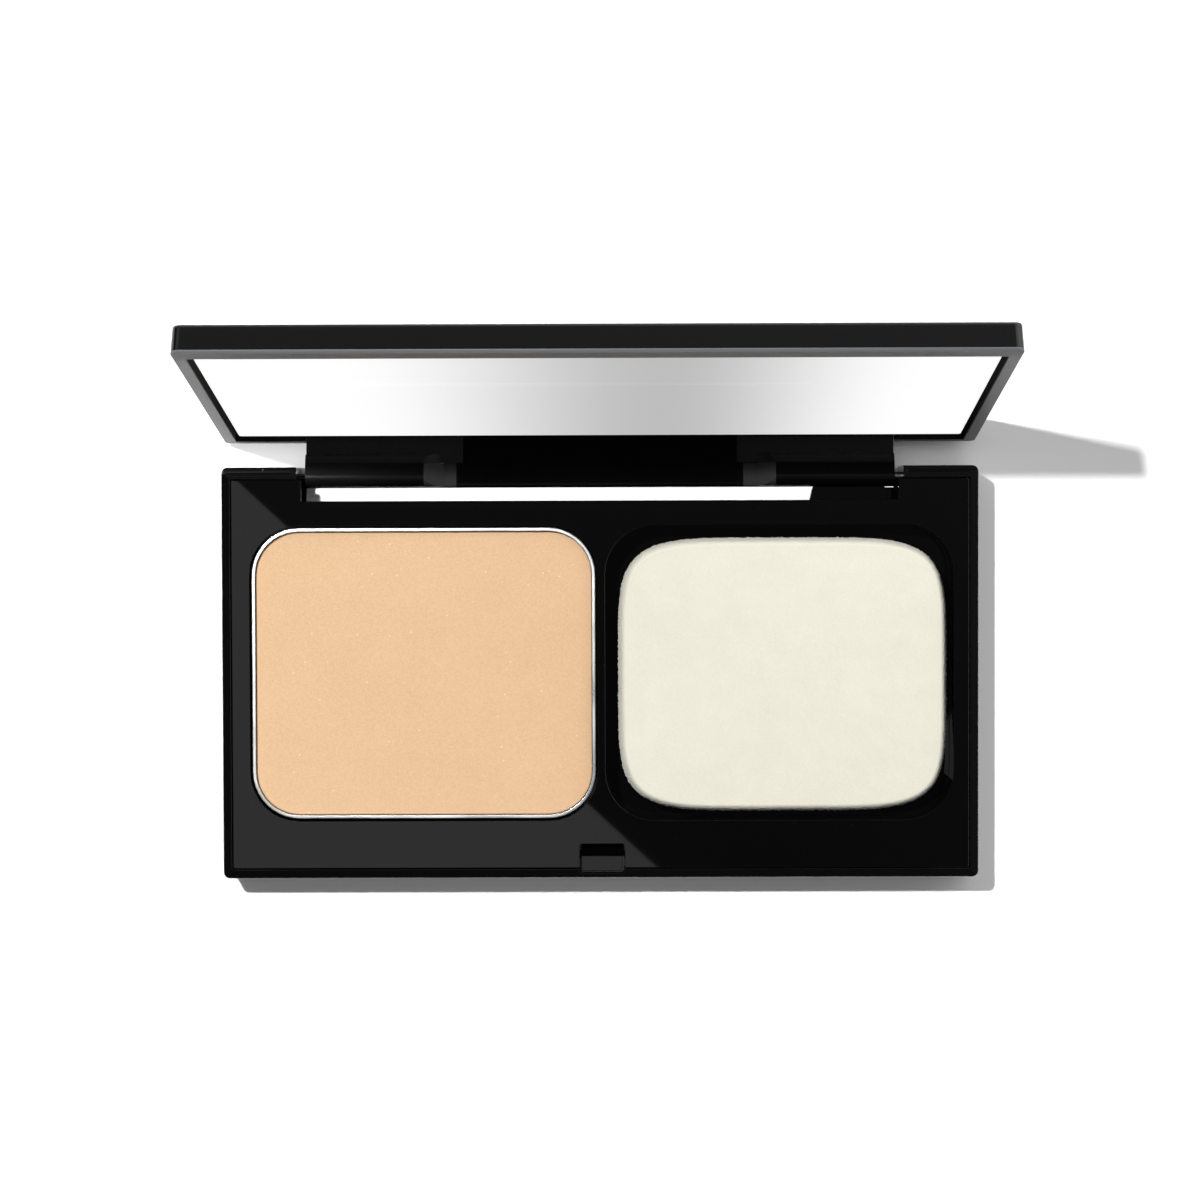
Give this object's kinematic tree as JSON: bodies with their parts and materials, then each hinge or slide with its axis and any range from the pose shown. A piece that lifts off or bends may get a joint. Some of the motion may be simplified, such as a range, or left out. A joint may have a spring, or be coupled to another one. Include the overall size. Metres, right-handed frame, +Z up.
{
  "type": "powder_compact",
  "caption": "Flat rectangular powder compact: hinged mirror lid standing open, black tray with a pan of pressed powder and a well holding a soft sponge, sprung release button at the front.",
  "frame": {"origin": "middle of the flat underside of the base", "axes": "+X along the case's long side, to the sponge; +Y towards the hinge; +Z up, out of the table"},
  "size_m": [0.1124, 0.0793, 0.0613],
  "materials": {
    "case": "black, glossy",
    "pan": "plain pressed sheet",
    "powder": "pressed peach powder, fine grained, matt",
    "sponge": "flocked cream foam",
    "mirror": "silvered glass",
    "pin": "drawn wire",
    "spring": "drawn wire",
    "magnet": "nickel plated",
    "adhesive": "double-sided tape",
    "label": "blank film"
  },
  "bodies": {
    "base": {"base_shell": "case", "deck_insert": "case", "powder_pan": "pan", "pressed_powder": "powder", "pan_adhesive": "adhesive", "sponge": "sponge", "latch_spring_left": "spring", "latch_spring_right": "spring", "hinge_pin_left": "pin", "hinge_pin_right": "pin", "base_magnet_left": "magnet", "base_magnet_right": "magnet", "underside_label": "label"},
    "lid": {"lid_cover": "case", "lid_frame": "case", "mirror": "mirror", "mirror_adhesive": "adhesive", "lid_magnet_left": "magnet", "lid_magnet_right": "magnet"},
    "latch": {"latch_button": "case"}
  },
  "joints": [
    {"name": "lid_hinge", "type": "hinge", "parent": "base", "child": "lid", "pos_m": [0, 0.029, 0.0038], "axis": [1, 0, 0], "range_deg": [0, 100.2]},
    {"name": "latch_press", "type": "slide", "parent": "base", "child": "latch", "axis": [0, 1, 0], "range_m": [0, 0.0008], "stiffness_N_per_m": 1500, "springref_m": -0.0005, "deforming": ["latch_spring_left", "latch_spring_right"]}
  ]
}
